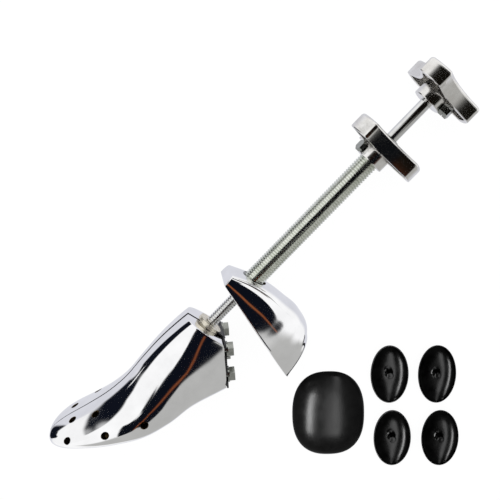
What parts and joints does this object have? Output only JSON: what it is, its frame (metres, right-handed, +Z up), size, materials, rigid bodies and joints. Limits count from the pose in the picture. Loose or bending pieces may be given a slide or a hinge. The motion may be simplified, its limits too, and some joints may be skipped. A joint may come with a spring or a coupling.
{
  "type": "shoe stretcher",
  "caption": "Two-way shoe stretcher with a split metal last, screw-driven heel, star knobs, an instep pad and bunion plugs.",
  "frame": {"origin": "centre of the bounding box at the surface it lies on", "axes": "+X along the spindle from toe to knobs, +Y away from the loose pads, +Z up from the surface"},
  "size_m": [0.3876, 0.2602, 0.0704],
  "materials": {
    "last_cast": "polished cast",
    "heel_cast": "polished cast",
    "knob_cast": "tumbled cast",
    "bush": "bright zinc",
    "plate": "black enamel",
    "rod": "zinc plated thread",
    "tube": "zinc plated thread",
    "fasteners": "zinc plated",
    "pad": "semi gloss",
    "plug": "gloss"
  },
  "bodies": {
    "core": {"throat_bush": "bush", "rear_plate": "plate"},
    "wedge": {"spreader_wedge": "fasteners", "wedge_pin": "fasteners"},
    "width_spindle": {"spindle_rod": "rod", "retaining_rings": "fasteners", "width_knob": "knob_cast", "width_knob_screw": "fasteners"},
    "length_tube": {"drive_tube": "tube", "length_knob": "knob_cast", "length_knob_screw": "fasteners"},
    "heel": {"heel_block": "heel_cast", "heel_insert": "fasteners"},
    "half_near": {"last_half_near": "last_cast", "guide_dowels": "fasteners", "plate_bolts_near": "fasteners", "plate_washers_near": "fasteners"},
    "half_far": {"last_half_far": "last_cast", "plate_bolts_far": "fasteners", "plate_washers_far": "fasteners"},
    "pad": {"instep_pad": "pad"},
    "plug_1": {"bunion_plug_1": "plug"},
    "plug_2": {"bunion_plug_2": "plug"},
    "plug_3": {"bunion_plug_3": "plug"},
    "plug_4": {"bunion_plug_4": "plug"}
  },
  "joints": [
    {"name": "width_turn", "type": "hinge", "parent": "wedge", "child": "width_spindle", "pos_m": [-0.07792, 0.09699, 0.034], "axis": [-0.9999, 0, 0.0172], "range_deg": [0, 2880.01]},
    {"name": "wedge_travel", "type": "slide", "parent": "core", "child": "wedge", "axis": [-0.9999, 0, 0.0172], "range_m": [0, 0.016]},
    {"name": "near_spread", "type": "slide", "parent": "core", "child": "half_near", "axis": [0.0169, -0.1703, 0.9853], "range_m": [0, 0.00583]},
    {"name": "far_spread", "type": "slide", "parent": "core", "child": "half_far", "axis": [-0.0169, 0.1703, -0.9853], "range_m": [0, 0.00583]},
    {"name": "length_turn", "type": "hinge", "parent": "wedge", "child": "length_tube", "pos_m": [0.05206, 0.09699, 0.03177], "axis": [-0.9999, 0, 0.0172], "range_deg": [0, 18000.01]},
    {"name": "heel_travel", "type": "slide", "parent": "wedge", "child": "heel", "axis": [0.9999, 0, -0.0172], "range_m": [0, 0.1]},
    {"name": "pad_lift", "type": "slide", "parent": "core", "child": "pad", "axis": [0, 0, 1], "range_m": [0, 0.08]},
    {"name": "plug_1_lift", "type": "slide", "parent": "core", "child": "plug_1", "axis": [0, 0, 1], "range_m": [0, 0.08]},
    {"name": "plug_2_lift", "type": "slide", "parent": "core", "child": "plug_2", "axis": [0, 0, 1], "range_m": [0, 0.08]},
    {"name": "plug_3_lift", "type": "slide", "parent": "core", "child": "plug_3", "axis": [0, 0, 1], "range_m": [0, 0.08]},
    {"name": "plug_4_lift", "type": "slide", "parent": "core", "child": "plug_4", "axis": [0, 0, 1], "range_m": [0, 0.08]}
  ],
  "couplings": [
    {"joint": "width_turn", "follows": "wedge_travel", "rad_per_m": 3141.6},
    {"joint": "near_spread", "follows": "wedge_travel", "ratio": 0.36397},
    {"joint": "far_spread", "follows": "wedge_travel", "ratio": 0.36397},
    {"joint": "length_turn", "follows": "heel_travel", "rad_per_m": 3141.6}
  ]
}
